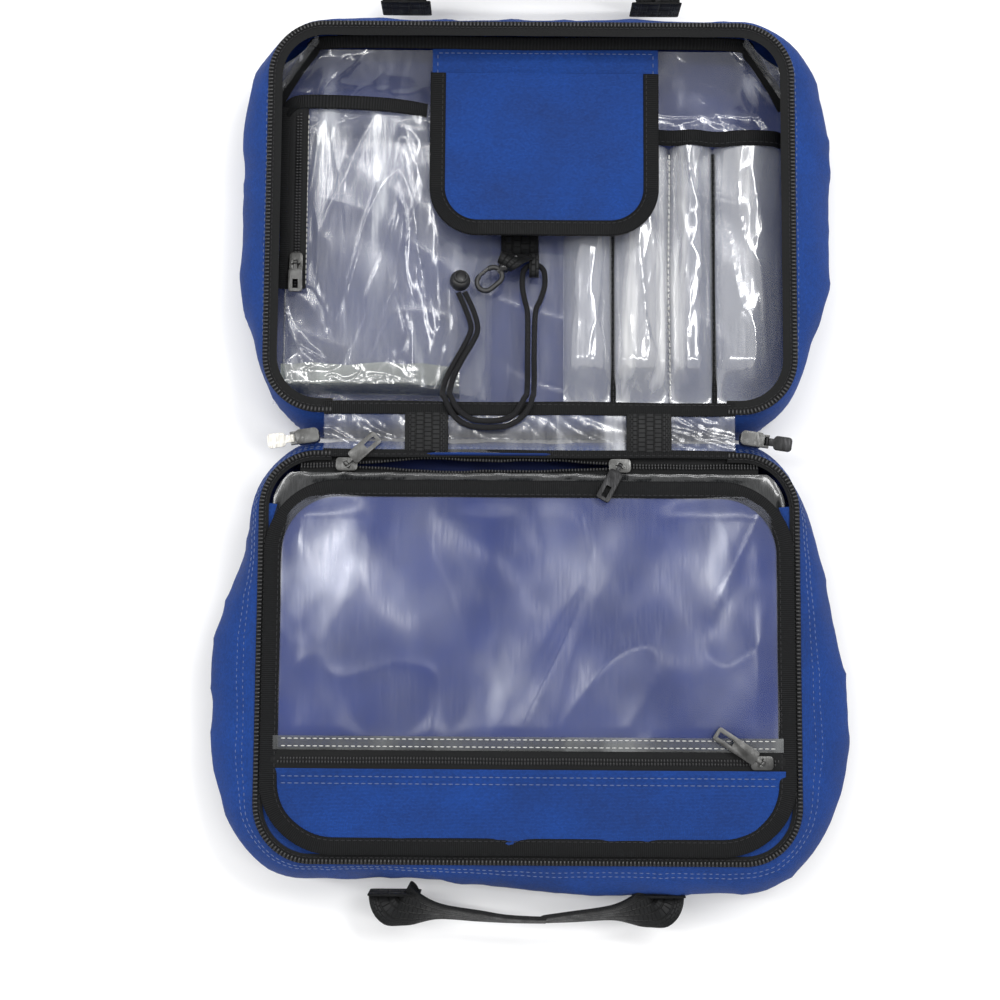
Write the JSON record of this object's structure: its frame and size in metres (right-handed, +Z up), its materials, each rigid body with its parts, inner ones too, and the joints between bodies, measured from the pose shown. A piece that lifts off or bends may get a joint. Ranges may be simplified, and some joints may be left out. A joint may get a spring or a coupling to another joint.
{
  "type": "trauma backpack",
  "caption": "Clamshell medical backpack lying open flat, with clear vinyl pockets, a zipped compartment cover, a centre flap, web handles and padded shoulder straps.",
  "frame": {"origin": "middle of the open bag, under the hinge line, on the surface it lies on", "axes": "+X across the bag along the hinge line, +Y from the hinge towards the front half, +Z up out of the open halves"},
  "size_m": [0.356, 0.543, 0.0649],
  "materials": {
    "shell": "coated royal-blue woven nylon",
    "lining": "royal-blue woven nylon lining",
    "foam": "closed-cell foam board",
    "zip": "black woven tape with a nylon coil",
    "binding": "black grosgrain tape",
    "web": "black ribbed nylon web",
    "vinyl": "clear flexible vinyl",
    "pad": "black padded nylon",
    "zinc": "nickel-plated zinc casting",
    "hardware": "moulded black acetal",
    "cord_stop": "black moulded rubber",
    "cord": "black braided elastic"
  },
  "bodies": {
    "back_half": {"back_panel": "shell", "back_wall": "shell", "back_board": "foam", "back_liner": "lining", "back_zip": "zip", "back_spine_binding": "binding", "back_spine": "vinyl", "back_hinge_webs": "web", "compartment_zip": "zip", "back_handle_anchors": "web", "back_pad": "pad", "left_shoulder_strap": "pad", "right_shoulder_strap": "pad", "strap_webs": "web", "ladder_locks": "hardware", "strap_tabs": "pad"},
    "front_half": {"front_panel": "shell", "front_wall": "shell", "front_board": "foam", "front_liner": "lining", "front_zip": "zip", "front_spine_binding": "binding", "front_spine": "vinyl", "front_hinge_webs": "web", "front_handle_anchors": "web", "full_pocket": "vinyl", "full_pocket_binding": "binding", "pouch_film": "vinyl", "pouch_binding": "binding", "pouch_zip": "zip", "tool_pockets": "vinyl", "tool_pocket_binding": "binding", "flap_strip": "lining", "web_tab": "web", "cord_stop": "cord_stop", "elastic_cord": "cord"},
    "cover": {"cover_panel": "lining", "cover_window": "vinyl", "window_zip": "zip", "cover_lower_panel": "lining", "cover_binding": "binding", "cover_gusset": "binding"},
    "flap": {"centre_flap": "lining", "flap_binding": "binding"},
    "left_compartment_slider": {"left_compartment_slider": "zinc"},
    "left_compartment_pull": {"left_compartment_pull": "zinc"},
    "right_compartment_slider": {"right_compartment_slider": "zinc"},
    "right_compartment_pull": {"right_compartment_pull": "zinc"},
    "left_main_slider": {"left_main_slider": "zinc"},
    "left_main_pull": {"left_main_pull": "zinc"},
    "right_main_slider": {"right_main_slider": "zinc"},
    "right_main_pull": {"right_main_pull": "zinc"},
    "window_slider": {"window_slider": "zinc"},
    "window_pull": {"window_pull": "zinc"},
    "pouch_slider": {"pouch_slider": "zinc"},
    "pouch_pull": {"pouch_pull": "zinc"},
    "snap_hook": {"snap_hook": "hardware"},
    "hook_gate": {"hook_gate": "hardware"},
    "front_handle": {"front_handle": "web"},
    "back_handle": {"back_handle": "web"}
  },
  "joints": [
    {"name": "lid_hinge", "type": "hinge", "parent": "back_half", "child": "front_half", "pos_m": [0, 0, 0.058], "axis": [1, 0, 0], "range_deg": [0, 180]},
    {"name": "cover_hinge", "type": "hinge", "parent": "back_half", "child": "cover", "pos_m": [0, -0.231, 0.0563], "axis": [-1, 0, 0], "range_deg": [-95, 0]},
    {"name": "left_compartment_slider_slide", "type": "slide", "parent": "back_half", "child": "left_compartment_slider", "axis": [-1, 0, 0], "range_m": [-0.041, 0.009]},
    {"name": "right_compartment_slider_slide", "type": "slide", "parent": "back_half", "child": "right_compartment_slider", "axis": [1, 0, 0], "range_m": [-0.065, 0.06]},
    {"name": "left_compartment_pull_swing", "type": "hinge", "parent": "left_compartment_slider", "child": "left_compartment_pull", "pos_m": [-0.101, -0.0182, 0.0574], "axis": [-0.6691, 0.7431, 0], "range_deg": [-110, 0]},
    {"name": "right_compartment_pull_swing", "type": "hinge", "parent": "right_compartment_slider", "child": "right_compartment_pull", "pos_m": [0.05, -0.0182, 0.0574], "axis": [0.8829, -0.4695, 0], "range_deg": [-96, 0]},
    {"name": "left_main_slider_turn", "type": "hinge", "parent": "back_half", "child": "left_main_slider", "pos_m": [-0.117, -0.0425, 0.058], "axis": [0, 0, 1], "range_deg": [0, 82]},
    {"name": "right_main_slider_turn", "type": "hinge", "parent": "back_half", "child": "right_main_slider", "pos_m": [0.117, -0.0425, 0.058], "axis": [0, 0, -1], "range_deg": [0, 82]},
    {"name": "left_main_pull_swing", "type": "hinge", "parent": "left_main_slider", "child": "left_main_pull", "pos_m": [-0.13072, -0.00454, 0.058], "axis": [0.1392, -0.9903, 0], "range_deg": [-100, 0]},
    {"name": "right_main_pull_swing", "type": "hinge", "parent": "right_main_slider", "child": "right_main_pull", "pos_m": [0.13072, -0.00454, 0.058], "axis": [0.1392, 0.9903, 0], "range_deg": [-100, 0]},
    {"name": "window_slider_slide", "type": "slide", "parent": "cover", "child": "window_slider", "axis": [1, 0, 0], "range_m": [-0.248, 0.002]},
    {"name": "window_pull_swing", "type": "hinge", "parent": "window_slider", "child": "window_pull", "pos_m": [0.126, -0.1795, 0.0635], "axis": [-0.5446, -0.8387, 0], "range_deg": [-110, 0]},
    {"name": "pouch_slider_slide", "type": "slide", "parent": "front_half", "child": "pouch_slider", "axis": [0, 1, 0], "range_m": [-0.003, 0.082]},
    {"name": "pouch_pull_swing", "type": "hinge", "parent": "pouch_slider", "child": "pouch_pull", "pos_m": [-0.133, 0.098, 0.0452], "axis": [1, 0, 0], "range_deg": [-110, 0]},
    {"name": "flap_hinge", "type": "hinge", "parent": "front_half", "child": "flap", "pos_m": [0.008, 0.2125, 0.0359], "axis": [1, 0, 0], "range_deg": [-95, 0]},
    {"name": "front_handle_swing", "type": "hinge", "parent": "front_half", "child": "front_handle", "pos_m": [0, 0.2547, 0.03], "axis": [1, 0, 0], "range_deg": [-50, 50]},
    {"name": "back_handle_swing", "type": "hinge", "parent": "back_half", "child": "back_handle", "pos_m": [0, -0.2547, 0.03], "axis": [-1, 0, 0], "range_deg": [-50, 50]},
    {"name": "hook_swivel", "type": "hinge", "parent": "front_half", "child": "snap_hook", "pos_m": [-0.012, 0.103, 0.026], "axis": [-0.766, -0.6428, 0], "range_deg": [-180, 180]},
    {"name": "gate_hinge", "type": "hinge", "parent": "snap_hook", "child": "hook_gate", "pos_m": [-0.02459, 0.09949, 0.026], "axis": [0, 0, 1], "range_deg": [0, 24], "stiffness_Nm_per_rad": 0.002}
  ]
}
